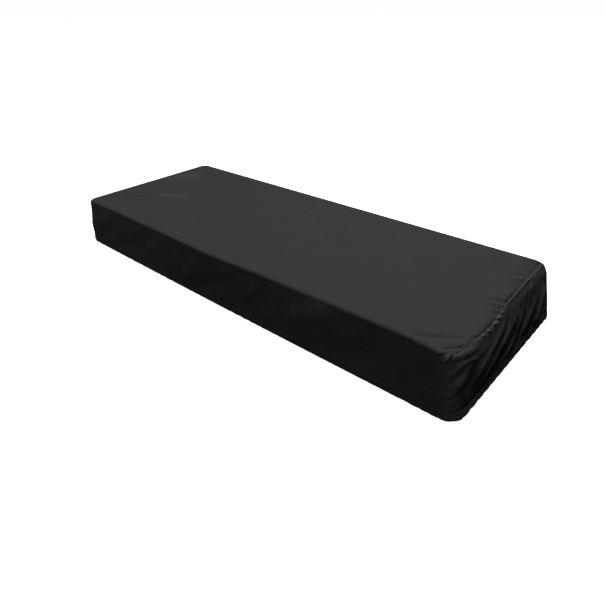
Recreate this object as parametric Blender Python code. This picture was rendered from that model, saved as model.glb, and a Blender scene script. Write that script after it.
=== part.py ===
"""Fitted dust cover for a portable electronic piano, in metres with +Z up.

The cover is sewn from three pieces of woven polyester. One long panel makes the top and both long
sides, and a panel is let into each end. The hem is a casing, drawn in by elastic, all the way round.
The origin is the middle of the top's underside, where the instrument's top bears. +X runs along the
length and -Y is the front.

Each panel is laid out on a plain sharp-edged box of the cover's length, width and drop. `on_cover`
rolls the edges of that box over to their radii, which puts each end's seams halfway round its edges,
and leans the sides. The lifts then raise the folds, the hem and the seams along that surface's
normals, and `add_cloth` gives the result its thickness.
"""

from collections import namedtuple

import bpy
import numpy as np

LENGTH = 1.0208  # along X, at the top
WIDTH = 0.390  # along Y, at the top
DROP = 0.1070  # from the top to the hem
CLOTH = 0.002  # thickness of the coated cloth
CORNER_RADIUS = 0.0272  # of the four upright corners, seen from above
EDGE_RADIUS = 0.0141  # between the top and the ends and back
FRONT_EDGE_RADIUS = 0.0055  # of the sharper fold between the top and the front
SEAM_EASE = 0.0003  # what each panel stops short of a seam, which leaves about 0.3 mm between two

FRONT_LEAN = 0.0078  # how far the front hem stands out from the top's front edge
FRONT_SWELL = 0.0025  # how much further it stands out half way along
RIGHT_LEAN = 0.0180  # how far the right end's hem stands out
LEFT_LEAN = -0.0080  # the left end leans in
LEFT_DRAW = 0.0035  # how far its elastic draws the hem in further

HEM_HEIGHT = 0.017  # of the casing, up to its line of stitches
LONG_STEP = 0.044  # spacing of the sections along the length
WIDE_STEP = 0.042  # spacing of the sections across the top
RIGHT_STEP = 0.0060  # spacing of the sections across the folds of the right end
LEFT_STEP = 0.020  # the same at the left end
RIGHT_DROP_STEP = 0.0070  # spacing of the sections down the right end
PLAIN_DROP_STEP = 0.0180  # spacing of the sections down the other sides

# How far the cloth stands out from a straight side, by height above the hem.
Profile = namedtuple("Profile", "height out")
SIDE_PROFILE = [
    Profile(height=0.000, out=-0.0016),
    Profile(height=0.003, out=0.0002),
    Profile(height=0.008, out=0.0016),
    Profile(height=0.014, out=0.0018),
    Profile(height=0.017, out=0.0007),
    Profile(height=0.021, out=0.0018),
    Profile(height=0.040, out=0.0016),
    Profile(height=0.065, out=0.0010),
    Profile(height=0.093, out=0.0000),
]

# How far the top's front fold stands out from a straight line, along the length.
Bow = namedtuple("Bow", "x out")
FRONT_BOW = [
    Bow(x=-0.512, out=0.000),
    Bow(x=-0.410, out=-0.003),
    Bow(x=-0.275, out=-0.001),
    Bow(x=-0.158, out=0.001),
    Bow(x=-0.047, out=0.004),
    Bow(x=0.040, out=0.001),
    Bow(x=0.118, out=-0.003),
    Bow(x=0.258, out=-0.007),
    Bow(x=0.431, out=-0.010),
    Bow(x=0.512, out=-0.003),
]
BOW_REACH = 0.070  # how far in over the top that fold's bow is felt

# Soft swells and hollows of the long sides, along the length.
Wave = namedtuple("Wave", "x half_width out")
SIDE_WAVES = [
    Wave(x=-0.410, half_width=0.060, out=0.0012),
    Wave(x=-0.250, half_width=0.055, out=-0.0010),
    Wave(x=-0.090, half_width=0.070, out=0.0014),
    Wave(x=0.080, half_width=0.060, out=-0.0012),
    Wave(x=0.235, half_width=0.065, out=0.0016),
    Wave(x=0.370, half_width=0.050, out=-0.0010),
]

# Folds of the end panels. Each hangs as a swag from its upper end to its lower end. `along` is the
# distance from the panel's front edge, `up` the height above the hem, `sag` how far its middle hangs
# below the straight line, `rise` how far the cloth stands out at its line, and `above` and `below`
# over what distances it comes out to that line and falls back from it.
Fold = namedtuple("Fold", "along_top up_top along_low up_low sag rise above below")
RIGHT_FOLDS = [
    Fold(0.155, 0.094, 0.022, 0.097, 0.003, 0.0019, 0.0096, 0.0197),
    Fold(0.120, 0.080, -0.015, 0.044, -0.014, 0.0029, 0.0132, 0.0275),
    Fold(0.187, 0.095, 0.042, 0.041, 0.000, 0.0048, 0.0140, 0.0267),
    Fold(0.240, 0.084, 0.059, 0.030, 0.004, 0.0044, 0.0140, 0.0283),
    Fold(0.269, 0.089, 0.170, 0.021, 0.001, 0.0036, 0.0119, 0.0229),
    Fold(0.340, 0.078, 0.236, 0.028, -0.003, 0.0034, 0.0101, 0.0291),
    Fold(0.355, 0.080, 0.297, 0.017, -0.004, 0.0057, 0.0060, 0.0253),
    Fold(0.341, 0.096, 0.303, 0.096, 0.000, 0.0017, 0.0085, 0.0068),
]
LEFT_FOLDS = [
    Fold(0.130, 0.085, 0.060, 0.020, 0.008, 0.0022, 0.0080, 0.0200),
    Fold(0.240, 0.088, 0.175, 0.020, 0.008, 0.0026, 0.0090, 0.0220),
    Fold(0.335, 0.080, 0.285, 0.020, 0.006, 0.0020, 0.0080, 0.0200),
]
FOLD_POINTS = 65  # points on a fold's curve that distances are measured from
FOLD_FADE = 0.011  # the folds die away over this distance from a seam
SEAM_DIP = 0.0007  # how far both panels sink at a seam
DIP_WIDTH = 0.007
SEAM_RIDGE = 0.0022  # how far the gathered end cloth stands up beside its top seam
RIDGE_TOP = 0.0055  # distance of that ridge's crest from the seam
RIDGE_FOOT = 0.0130  # and of its far side

CLOTH_COLOUR = (0.035, 0.035, 0.036, 1.0)
CLOTH_ROUGHNESS = 0.72


def smooth(share):
    """0 up to 0, 1 from 1, and a soft step between."""
    share = np.clip(share, 0.0, 1.0)
    return share * share * (3.0 - 2.0 * share)


def from_table(rows, position, value, at):
    """The column `value` of a table, read between its rows at `at`."""
    return np.interp(
        at,
        [getattr(row, position) for row in rows],
        [getattr(row, value) for row in rows],
    )


def on_cover(x, y, depth):
    """The bare cover's surface over points of the sharp-edged box, where depth is measured down."""
    over_x = np.clip(np.abs(x) - (LENGTH / 2 - CORNER_RADIUS), 0, None) / CORNER_RADIUS
    over_y = np.clip(np.abs(y) - (WIDTH / 2 - CORNER_RADIUS), 0, None) / CORNER_RADIUS
    size = np.maximum(np.hypot(over_x, over_y), 1e-9)
    inset = CORNER_RADIUS * (1 - np.maximum(over_x, over_y))
    facing_front = np.where(y < 0, over_y / size, 0) ** 2
    radius = EDGE_RADIUS + (FRONT_EDGE_RADIUS - EDGE_RADIUS) * facing_front

    # The angle that the edge has turned through: 0 on the top, 45 degrees on the sharp edge, 90 on a side.
    top_turn = np.arctan(np.clip(1 - inset / radius, 0, 1))
    side_turn = np.pi / 2 - np.arctan(np.clip(1 - depth / radius, 0, 1))
    turn = np.where(depth > 0, side_turn, top_turn)
    inset = np.where(turn > 0, radius * (1 - np.sin(turn)), inset)
    fall = np.where(depth > radius, depth, radius * (1 - np.cos(turn)))

    pull = CORNER_RADIUS - inset
    plan_x = x + np.sign(x) * (over_x / size * pull - over_x * CORNER_RADIUS)
    plan_y = y + np.sign(y) * (over_y / size * pull - over_y * CORNER_RADIUS)

    lean = fall / DROP
    rightness = 0.5 + plan_x / LENGTH
    frontness = 0.5 - plan_y / WIDTH
    bow = from_table(FRONT_BOW, "x", "out", plan_x)
    bow = bow * smooth(1 - (plan_y + WIDTH / 2) / BOW_REACH) * (1 - lean)
    left_lean = LEFT_LEAN * lean - LEFT_DRAW * smooth(lean * 10 - 9)
    leant_x = plan_x + RIGHT_LEAN * lean * rightness - left_lean * (1 - rightness)
    swell = FRONT_SWELL * (1 - (2 * plan_x / LENGTH) ** 2)
    leant_y = plan_y - lean * (FRONT_LEAN + swell) * frontness - bow
    return np.stack([leant_x, leant_y, CLOTH - fall], axis=-1)


def normals(surface, u, v):
    """The unit normals of surface(u, v), to the side that u crossed with v points to."""
    step = 2e-5
    along_u = surface(u + step, v) - surface(u - step, v)
    along_v = surface(u, v + step) - surface(u, v - step)
    normal = np.cross(along_u, along_v)
    return normal / np.linalg.norm(normal, axis=-1, keepdims=True)


def seam_dip(distance):
    """What a panel sinks at this distance from a seam."""
    return -SEAM_DIP * (1 - smooth(distance / DIP_WIDTH))


def side_lift(height):
    """What a side stands out at this height: its hem casing, its stitch line and its slight belly."""
    return from_table(SIDE_PROFILE, "height", "out", height)


def fold_curve(fold):
    """Points along a fold, as distances along the end and heights above the hem."""
    share = np.linspace(0, 1, FOLD_POINTS)
    along = fold.along_top + (fold.along_low - fold.along_top) * share
    up = fold.up_top + (fold.up_low - fold.up_top) * share
    run = np.array([fold.along_low - fold.along_top, fold.up_low - fold.up_top])
    across = np.array([-run[1], run[0]]) / np.hypot(run[0], run[1])
    across = across * -np.sign(across[1])
    hang = fold.sag * 4 * share * (1 - share)
    return along + across[0] * hang, up + across[1] * hang, share


def folds_lift(folds, along, up):
    """The sum of the folds' rises at points of an end panel, each fading towards its two ends.

    Down to its line a fold comes out more and more steeply. Below the line it falls back slowly.
    """
    lift = np.zeros_like(along)
    for fold in folds:
        fold_along, fold_up, share = fold_curve(fold)
        apart = np.hypot(along[..., None] - fold_along, up[..., None] - fold_up)
        nearest = np.argmin(apart, axis=-1)
        apart = apart.min(axis=-1)
        run_along, run_up = np.gradient(fold_along)[nearest], np.gradient(fold_up)[nearest]
        side = run_up * (along - fold_along[nearest]) - run_along * (up - fold_up[nearest])
        strength = 0.15 + 0.85 * (smooth(4 * share) * smooth(5 * (1 - share)))[nearest]
        ledge = np.exp(-apart / fold.above)
        fall = np.clip(1 - apart / fold.below, 0, 1) ** 1.5
        lift = lift + fold.rise * strength * np.where(side > 0, ledge, fall)
    return lift


def long_panel(u, v):
    """The long panel's surface. u runs from the back hem over the top to the front hem, v along X."""

    def box_place(u):
        """The place along Y and the depth on the sharp-edged box."""
        y = np.clip(DROP + WIDTH / 2 - u, -WIDTH / 2, WIDTH / 2)
        return y, np.maximum(np.maximum(DROP - u, u - DROP - WIDTH), 0)

    def bare(u, v):
        """The panel with no lifts."""
        return on_cover(v, *box_place(u))

    depth = box_place(u)[1]
    height = DROP - depth
    on_side = smooth(depth / EDGE_RADIUS)
    waves = sum(row.out * np.exp(-(((v - row.x) / row.half_width) ** 2)) for row in SIDE_WAVES)
    lift = on_side * (side_lift(height) + waves * np.sin(np.pi * np.clip(height / DROP, 0, 1)))
    lift = lift + seam_dip(LENGTH / 2 - np.abs(v))
    return bare(u, v) + lift[..., None] * normals(bare, u, v)


def end_panel(side, folds):
    """The surface of the end panel at +X or -X, as a function of its depth and its place along Y."""

    def bare(u, v):
        """The panel with no lifts."""
        return on_cover(side * (LENGTH / 2 + 0 * u), v, np.maximum(u, 1e-7))

    def surface(u, v):
        """The panel with its folds, its hem and its seams."""
        height = DROP - u
        along = v + WIDTH / 2
        to_upright_seam = WIDTH / 2 - np.abs(v)
        fade = smooth(to_upright_seam / FOLD_FADE) * smooth(u / FOLD_FADE)
        in_hem = 0.35 + 0.65 * smooth((height - 0.002) / 0.016)
        ridge = smooth(u / RIDGE_TOP) * smooth((RIDGE_FOOT - u) / (RIDGE_FOOT - RIDGE_TOP))
        lift = side_lift(height) + fade * in_hem * folds_lift(folds, along, height)
        lift = lift + SEAM_RIDGE * ridge * smooth(to_upright_seam / (2 * FOLD_FADE))
        lift = lift + seam_dip(np.minimum(to_upright_seam, u))
        return bare(u, v) + side * lift[..., None] * normals(bare, u, v)

    return surface


def turn_sections(radius, angles):
    """Distances from a sharp edge at which its rounded form has turned by 45 degrees less each angle."""
    return [radius * (1 - np.tan(np.radians(angle))) for angle in angles]


def between(low, high, step):
    """Evenly spaced values between low and high, leaving both out, at most a step apart."""
    count = int(np.ceil((high - low) / step))
    return list(np.linspace(low, high, count + 1)[1:-1])


# Distances from an edge of the sections where its form turns: at the ends and back, and at the front.
PLAIN_TURN = turn_sections(EDGE_RADIUS, (30, 15, 0))
FRONT_TURN = turn_sections(FRONT_EDGE_RADIUS, (30, 15, 0)) + turn_sections(EDGE_RADIUS, (15, 0))
END_TURN = turn_sections(EDGE_RADIUS, (38, 30, 15, 0))


def across_sections(half, step, low_turn):
    """Section places from -half to +half: close together where the edges turn, and a step apart between."""
    corner = turn_sections(CORNER_RADIUS, (15, 0))
    inner = half - CORNER_RADIUS
    low = [distance - half for distance in [SEAM_EASE] + low_turn + corner]
    high = [half - distance for distance in [SEAM_EASE] + PLAIN_TURN + corner]
    return np.array(low + between(-inner, inner, step) + high[::-1])


def drop_sections(step, turning):
    """Section depths down a side, from the seam or the edge to the hem."""
    hem = [DROP - height for height in (0.021, HEM_HEIGHT, 0.014, 0.008, 0.003, 0.0)]
    return np.array(turning + between(turning[-1], hem[0], step) + hem)


def add_cloth(name, surface, u, v, side=1):
    """A closed sheet of cloth: its outer face is surface(u, v) and its inner face a thickness within."""
    u, v = np.meshgrid(u, v, indexing="ij")
    outer = surface(u, v)
    inner = outer - side * CLOTH * normals(surface, u, v)
    rows, columns = u.shape
    place = np.arange(rows * columns).reshape(rows, columns)
    # Starting each face at this corner splits it along the swags of the right end.
    faces = np.stack([place[1:, :-1], place[1:, 1:], place[:-1, 1:], place[:-1, :-1]], axis=-1)
    faces = faces.reshape(-1, 4)
    turned_over = [0, 3, 2, 1]
    rim = np.concatenate([place[:-1, 0], place[-1, :-1], place[:0:-1, -1], place[0, :0:-1]])
    after = np.roll(rim, -1)
    within = rows * columns
    walls = np.stack([after, rim, rim + within, after + within], axis=-1)
    faces = np.concatenate([faces, faces[:, turned_over] + within, walls])
    if side < 0:
        faces = faces[:, turned_over]

    mesh = bpy.data.meshes.new(name)
    points = np.concatenate([outer.reshape(-1, 3), inner.reshape(-1, 3)])
    mesh.from_pydata(points.tolist(), [], faces.tolist())
    mesh.polygons.foreach_set("use_smooth", np.ones(len(faces), bool))
    cloth = bpy.data.objects.new(name, mesh)
    bpy.context.scene.collection.objects.link(cloth)
    return cloth


def give_material(cloth, name):
    """A plain black coated cloth."""
    material = bpy.data.materials.new(name)
    material.use_nodes = True
    shader = material.node_tree.nodes["Principled BSDF"]
    shader.inputs["Base Color"].default_value = CLOTH_COLOUR
    shader.inputs["Roughness"].default_value = CLOTH_ROUGHNESS
    shader.inputs["Metallic"].default_value = 0.0
    material.diffuse_color = CLOTH_COLOUR
    cloth.data.materials.append(material)


def main():
    """Clears the startup scene and adds the three panels."""
    for startup_object in list(bpy.data.objects):
        bpy.data.objects.remove(startup_object, do_unlink=True)

    back_depths = drop_sections(PLAIN_DROP_STEP, PLAIN_TURN)
    front_depths = drop_sections(PLAIN_DROP_STEP, FRONT_TURN)
    over_top = DROP + WIDTH / 2 - across_sections(WIDTH / 2, WIDE_STEP, FRONT_TURN)[::-1]
    over_top[0] = DROP
    over_top[-1] = DROP + WIDTH
    sections = np.concatenate([DROP - back_depths[::-1], over_top, DROP + WIDTH + front_depths])
    long_places = across_sections(LENGTH / 2, LONG_STEP, PLAIN_TURN)
    main_panel = add_cloth("main_panel", long_panel, sections, long_places)
    give_material(main_panel, "main_panel_cloth")

    right_depths = np.concatenate([[SEAM_EASE], drop_sections(RIGHT_DROP_STEP, END_TURN)])
    right_places = across_sections(WIDTH / 2, RIGHT_STEP, PLAIN_TURN)
    right_panel = add_cloth("right_end_panel", end_panel(1, RIGHT_FOLDS), right_depths, right_places)
    give_material(right_panel, "right_end_panel_cloth")

    left_depths = np.concatenate([[SEAM_EASE], drop_sections(PLAIN_DROP_STEP, END_TURN)])
    left_places = across_sections(WIDTH / 2, LEFT_STEP, PLAIN_TURN)
    left_panel = add_cloth("left_end_panel", end_panel(-1, LEFT_FOLDS), left_depths, left_places, side=-1)
    give_material(left_panel, "left_end_panel_cloth")


main()
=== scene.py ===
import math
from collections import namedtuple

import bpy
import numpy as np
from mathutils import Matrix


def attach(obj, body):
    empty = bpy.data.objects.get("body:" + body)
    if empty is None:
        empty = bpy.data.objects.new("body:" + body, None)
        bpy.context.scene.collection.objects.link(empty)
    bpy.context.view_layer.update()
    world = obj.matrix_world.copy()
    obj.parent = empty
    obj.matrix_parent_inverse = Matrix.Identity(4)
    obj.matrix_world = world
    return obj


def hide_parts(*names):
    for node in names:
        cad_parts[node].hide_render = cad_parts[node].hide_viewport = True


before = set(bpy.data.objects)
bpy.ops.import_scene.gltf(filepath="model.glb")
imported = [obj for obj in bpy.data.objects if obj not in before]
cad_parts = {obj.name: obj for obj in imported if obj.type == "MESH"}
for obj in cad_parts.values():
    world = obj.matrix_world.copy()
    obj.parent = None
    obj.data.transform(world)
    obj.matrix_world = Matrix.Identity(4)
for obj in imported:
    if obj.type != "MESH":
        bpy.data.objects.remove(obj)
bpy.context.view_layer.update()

# Fitted dust cover for a portable electronic piano, as it stands pulled over its instrument. Lengths
# are in metres. The origin is the middle of the top's underside, +X runs along the length, -Y is the
# front and +Z is up.
#
# Each panel is laid out on a plain sharp-edged box of the cover's length, width and drop. `on_cover`
# rolls that box's edges over to their radii and leans its sides. The relief functions then give what
# the cloth does on that form: swags, gathers, puckers, its hem casing and its seams.

# ---------------------------------------------------------------------------- sizes

LENGTH = 1.0208  # along X, at the top
WIDTH = 0.390  # along Y, at the top
DROP = 0.1070  # from the top to the hem
TOP_Z = 0.002  # height of the top's outer face
CORNER_RADIUS = 0.0272  # of the four upright corners, seen from above
EDGE_RADIUS = 0.0141  # between the top and the ends and back
FRONT_EDGE_RADIUS = 0.0055  # of the sharper fold between the top and the front

FRONT_LEAN = 0.0078  # how far the front hem stands out from the top's front edge
FRONT_SWELL = 0.0025  # how much further it stands out half way along
RIGHT_LEAN = 0.0180  # how far the right end's hem stands out
LEFT_LEAN = -0.0080  # the left end leans in
LEFT_DRAW = 0.0035  # how far its elastic draws the hem in further
BOW_REACH = 0.070  # how far in over the top the front fold's bow is felt

CLOTH = 0.0009  # thickness of one layer with its coating
HEM_HEIGHT = 0.017  # of the casing, up to its line of stitches
HEM_TURN = 0.0016  # what the turned-in cloth and the elastic add inside the casing
SEAM_ALLOWANCE = 0.009  # width of the cloth turned in at a seam
ALLOWANCE_TURN = 0.0010  # what it adds to the thickness
SEAM_TUCK = 0.0012  # how far an end panel's turned-in edge reaches under the long panel
SEAM_SINK = 0.0006  # how deep the panels sink into their seams
SLIDE_REACH = 0.055  # how far from a seam the cloth is felt to have slipped

FRONT_EDGE = DROP + WIDTH  # distance of the front edge from the back hem, over the top
MIDDLE = DROP + WIDTH / 2  # and of the middle of the top
ON_EDGE = 1e-6  # nearer than this is on an edge

# The hem.
BELLY = 0.0016  # how far the sides stand out above it
CASING_ROUND = 0.0003  # how far the middle of its casing stands out
STITCH_SINK = 0.0005  # how deep the casing's stitches pull in
STITCH_SINK_HALF = 0.0016  # half the width of that groove
FOOT = 0.003  # height of the fold at its foot
FOOT_ROLL = 0.0022  # how far that fold rolls in
HEM_RIPPLE, HEM_PITCH = 0.0019, 0.0235  # ripples where the elastic draws the casing in
CASING_RIPPLE, CASING_PITCH = 0.0007, 0.0085  # finer ones on the casing
STITCH_PITCH = 0.0032
STITCH_LENGTH = 0.0024
THREAD = 0.00045  # thickness of its sewing thread

# The seams. The right top seam is beaded in front, and a plain roll with a deeper groove behind.
GROOVE_HALF = 0.0021  # half the width of the groove at a seam
GROOVE_WIDER = 0.0014  # how much wider its half is on the top, behind
BEADS_MIDDLE, BEADS_REACH = 0.125, 0.060  # where the beads are, from the front edge
DEEPER_AT_BEADS, DEEPER_BEHIND = 1.6, 6.5  # how many times deeper the groove is there and behind
ROLL_RISE, ROLL_MORE_BEHIND = 0.0008, 0.0014
ROLL_DEPTH, ROLL_HALF = 0.003, 0.0052  # how far below the seam the roll's crest is, and half its width
BEAD_DEPTH, BEAD_HALF = 0.0034, 0.0022  # the same of its beads
HOLLOW, HOLLOW_DEPTH, HOLLOW_HALF = 0.0009, 0.014, 0.0065  # the cloth sinks below the roll
GATHER, GATHER_PITCH = 0.0013, 0.011  # gathers that hang from the roll
PUCKER_LEAN = 0.18  # how far the puckers lean towards the front for each metre they run in
WRINKLE, WRINKLE_PITCH = 0.0010, 0.0150  # small wrinkles between the right end's swags
LEFT_ROLL, LEFT_GATHER, LEFT_PITCH = 0.0010, 0.0009, 0.013  # the left top seam's roll and gathers
LEFT_PUCKER, LEFT_PUCKER_PITCH = 0.00030, 0.016  # and its puckers, on the top

# The finish: sizes of its patterns.
WEAVE = 0.0012  # distance between the drawn threads
MOTTLE = 0.055
RUMPLE = 0.036
CRUMPLE = 0.013
TWIST = 0.0006  # of the sewing thread

# The room.
FLOOR_Z = -0.1062  # just under the hem
FLOOR_REACH = [0.001, 2.0, 8.0, 14.0, 17.0, 19.0, 20.0, 20.4]  # radii of the floor's rings
FLOOR_RISE = [0.0, 0.0, 0.0, 0.3, 1.2, 3.2, 6.5, 11.0]  # how far each lies above FLOOR_Z
FLOOR_SIDES = 96
SOFTBOX_SIZE = 1.0
Softbox = namedtuple("Softbox", "name place aim watts")
SOFTBOXES = [
    Softbox("overhead", (0.25, 1.05, 4.1), (0.0, 0.0, 0.0), 174),
    Softbox("front_overhead", (0.2, -2.0, 3.6), (0.0, 0.0, 0.0), 18),
    Softbox("front_fill", (-1.55, -0.95, 0.5), (-0.4, 0.0, 0.0), 4.6),
    Softbox("corner_fill", (1.64, -2.57, 1.49), (0.3, 0.0, 0.0), 9.0),
    Softbox("back_fill", (-1.6, 2.6, 0.9), (0.0, 0.0, 0.0), 4.0),
]
WORLD_LIGHT = 0.006
CAMERA_PLACE = (0.7569, -0.7853, 0.4766)
CAMERA_TURN, CAMERA_PITCH, CAMERA_ROLL = -41.81, 25.34, -1.09  # degrees
CAMERA_SENSOR, CAMERA_LENS, CAMERA_SHIFT = 36.0, 31.793, -0.1

Bow = namedtuple("Bow", "x out")
FRONT_BOW = [
    Bow(x=-0.512, out=0.000),
    Bow(x=-0.410, out=-0.003),
    Bow(x=-0.275, out=-0.001),
    Bow(x=-0.158, out=0.001),
    Bow(x=-0.047, out=0.004),
    Bow(x=0.040, out=0.001),
    Bow(x=0.118, out=-0.003),
    Bow(x=0.258, out=-0.007),
    Bow(x=0.431, out=-0.010),
    Bow(x=0.512, out=-0.003),
]

# Soft swells and hollows of the long sides, along the length.
Wave = namedtuple("Wave", "x half_width out")
SIDE_WAVES = [
    Wave(x=-0.410, half_width=0.060, out=0.0012),
    Wave(x=-0.250, half_width=0.055, out=-0.0010),
    Wave(x=-0.090, half_width=0.070, out=0.0014),
    Wave(x=0.080, half_width=0.060, out=-0.0012),
    Wave(x=0.235, half_width=0.065, out=0.0016),
    Wave(x=0.370, half_width=0.050, out=-0.0010),
]

# How far the right end's top seam has slipped down its end, or in over the top where it is negative,
# by distance from the front edge.
Slip = namedtuple("Slip", "along down")
RIGHT_SEAM_SLIP = [
    Slip(along=0.000, down=0.0000),
    Slip(along=0.013, down=-0.0040),
    Slip(along=0.035, down=-0.0030),
    Slip(along=0.058, down=0.0005),
    Slip(along=0.078, down=0.0035),
    Slip(along=0.113, down=0.0055),
    Slip(along=0.140, down=0.0040),
    Slip(along=0.165, down=-0.0010),
    Slip(along=0.195, down=-0.0055),
    Slip(along=0.244, down=-0.0085),
    Slip(along=0.300, down=-0.0110),
    Slip(along=0.372, down=-0.0120),
    Slip(along=0.390, down=0.0000),
]
# How far the front right upright seam has slipped towards the front, by depth below the top.
Shift = namedtuple("Shift", "depth ahead")
UPRIGHT_SEAM_SHIFT = [
    Shift(depth=0.000, ahead=0.0000),
    Shift(depth=0.030, ahead=0.0010),
    Shift(depth=0.060, ahead=0.0050),
    Shift(depth=0.090, ahead=0.0060),
    Shift(depth=0.107, ahead=0.0060),
]

# Folds of the end panels. Each hangs as a swag from its upper end to its lower end. `along` is the
# distance from the panel's front edge, `up` the height above the hem, `sag` how far its middle hangs
# below the straight line, `rise` how far the cloth stands out, or in where it is negative, and
# `above` and `below` how far that is felt to each side of its line.
Swag = namedtuple("Swag", "along_top up_top along_low up_low sag rise above below")
RIGHT_SWAGS = [
    Swag(0.155, 0.094, 0.022, 0.097, 0.003, 0.0019, 0.0096, 0.0197),
    Swag(0.120, 0.080, -0.015, 0.044, -0.014, 0.0029, 0.0132, 0.0275),
    Swag(0.187, 0.095, 0.042, 0.041, 0.000, 0.0048, 0.0140, 0.0267),
    Swag(0.240, 0.084, 0.059, 0.030, 0.004, 0.0044, 0.0140, 0.0283),
    Swag(0.269, 0.089, 0.170, 0.021, 0.001, 0.0036, 0.0119, 0.0229),
    Swag(0.340, 0.078, 0.236, 0.028, -0.003, 0.0034, 0.0101, 0.0291),
    Swag(0.355, 0.080, 0.297, 0.017, -0.004, 0.0057, 0.0060, 0.0253),
    Swag(0.341, 0.096, 0.303, 0.096, 0.000, 0.0017, 0.0085, 0.0068),
]
LEFT_SWAGS = [
    Swag(0.130, 0.085, 0.060, 0.020, 0.008, 0.0022, 0.0080, 0.0200),
    Swag(0.240, 0.088, 0.175, 0.020, 0.008, 0.0026, 0.0090, 0.0220),
    Swag(0.335, 0.080, 0.285, 0.020, 0.006, 0.0020, 0.0080, 0.0200),
]
SWAG_FADE = 0.011  # the swags die away over this distance from a seam
FOLD_ROUND = 0.0016  # how round a fold is along its line

# Creases, each a curve through a start, a middle and an end. `rise` is negative for a trough.
# `from_full` is its strength where it starts, and `pale` how far its crest is painted paler: painted
# highlight, and in part crease whitening of the coating. Both are 0 where they aren't given.
Crease = namedtuple("Crease", "a1 b1 a2 b2 a3 b3 rise half_width from_full pale", defaults=(0, 0))
# On the top `a` is X and `b` the distance ahead of its middle line. The creases are those at its left
# end, and the fold across its front right corner.
TOP_CREASES = [
    Crease(-0.482, 0.116, -0.436, 0.104, -0.372, 0.066, -0.0050, 0.0072),
    Crease(-0.402, 0.068, -0.358, 0.046, -0.292, 0.018, 0.0030, 0.0080, 0, 0.34),
    Crease(-0.482, -0.056, -0.458, -0.080, -0.428, -0.116, 0.0020, 0.0150, 0, 0.25),
    Crease(-0.452, -0.098, -0.424, -0.092, -0.388, -0.072, 0.0012, 0.0120, 0, 0.14),
    Crease(0.416, 0.194, 0.462, 0.163, 0.508, 0.124, -0.0040, 0.0044),
    Crease(0.440, 0.190, 0.474, 0.168, 0.508, 0.138, 0.0010, 0.0040, 0, 0.12),
]
# Here `a` is X and `b` the distance from the front fold, down the front, or over the top where it is
# negative. These lie where the top, the front and the right end meet.
CORNER_FOLDS = [
    Crease(0.507, -0.037, 0.495, -0.019, 0.482, -0.006, -0.0042, 0.0036, 1),
    Crease(0.508, -0.004, 0.499, 0.006, 0.487, 0.019, 0.0026, 0.0020, 1, 0.60),
    Crease(0.503, -0.006, 0.492, 0.002, 0.480, 0.014, -0.0016, 0.0026, 1),
    Crease(0.509, 0.002, 0.506, 0.016, 0.503, 0.034, -0.0010, 0.0022, 1),
]
# And these, measured in the same way, are the soft folds and hollows that slant up over the front.
FRONT_FOLDS = [
    Crease(0.176, 0.062, 0.232, 0.038, 0.308, 0.010, 0.0039, 0.0170, 0, 0.04),
    Crease(0.252, 0.088, 0.330, 0.070, 0.410, 0.046, -0.0030, 0.0150),
    Crease(0.404, 0.088, 0.450, 0.062, 0.492, 0.026, -0.0018, 0.0130),
    Crease(-0.500, 0.076, -0.452, 0.046, -0.376, 0.014, 0.0042, 0.0200),
    Crease(-0.388, 0.088, -0.316, 0.072, -0.236, 0.044, -0.0033, 0.0160),
    Crease(-0.250, 0.062, -0.204, 0.040, -0.140, 0.014, 0.0018, 0.0140),
    Crease(-0.118, 0.086, -0.090, 0.062, -0.058, 0.016, 0.0030, 0.0130),
    Crease(-0.070, 0.092, -0.026, 0.068, 0.028, 0.042, -0.0030, 0.0140),
    Crease(-0.006, 0.040, 0.022, 0.026, 0.052, 0.010, 0.0024, 0.0110),
    Crease(0.062, 0.074, 0.092, 0.044, 0.126, 0.012, 0.0027, 0.0120),
    Crease(0.120, 0.090, 0.150, 0.062, 0.182, 0.036, 0.0021, 0.0130),
]
# Wrinkles round the front right upright seam, on both panels. Here `a` is the distance round the
# corner from the seam's sharp edge, negative on the front, and `b` the height above the hem.
CORNER_CREASES = [
    Crease(-0.016, 0.041, 0.004, 0.0445, 0.0260, 0.0640, 0.0011, 0.0036),
    Crease(-0.012, 0.034, 0.006, 0.0380, 0.0290, 0.0530, -0.0008, 0.0034),
    Crease(-0.014, 0.028, 0.005, 0.0305, 0.0260, 0.0430, 0.0009, 0.0036),
    Crease(-0.010, 0.054, 0.014, 0.0570, 0.0460, 0.0660, 0.0008, 0.0040),
    Crease(-0.012, 0.060, 0.010, 0.0680, 0.0380, 0.0800, -0.0007, 0.0038),
    Crease(-0.014, 0.070, 0.008, 0.0790, 0.0320, 0.0880, 0.0008, 0.0038),
    Crease(-0.020, 0.019, 0.004, 0.0210, 0.0300, 0.0280, 0.0007, 0.0038),
]
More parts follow.
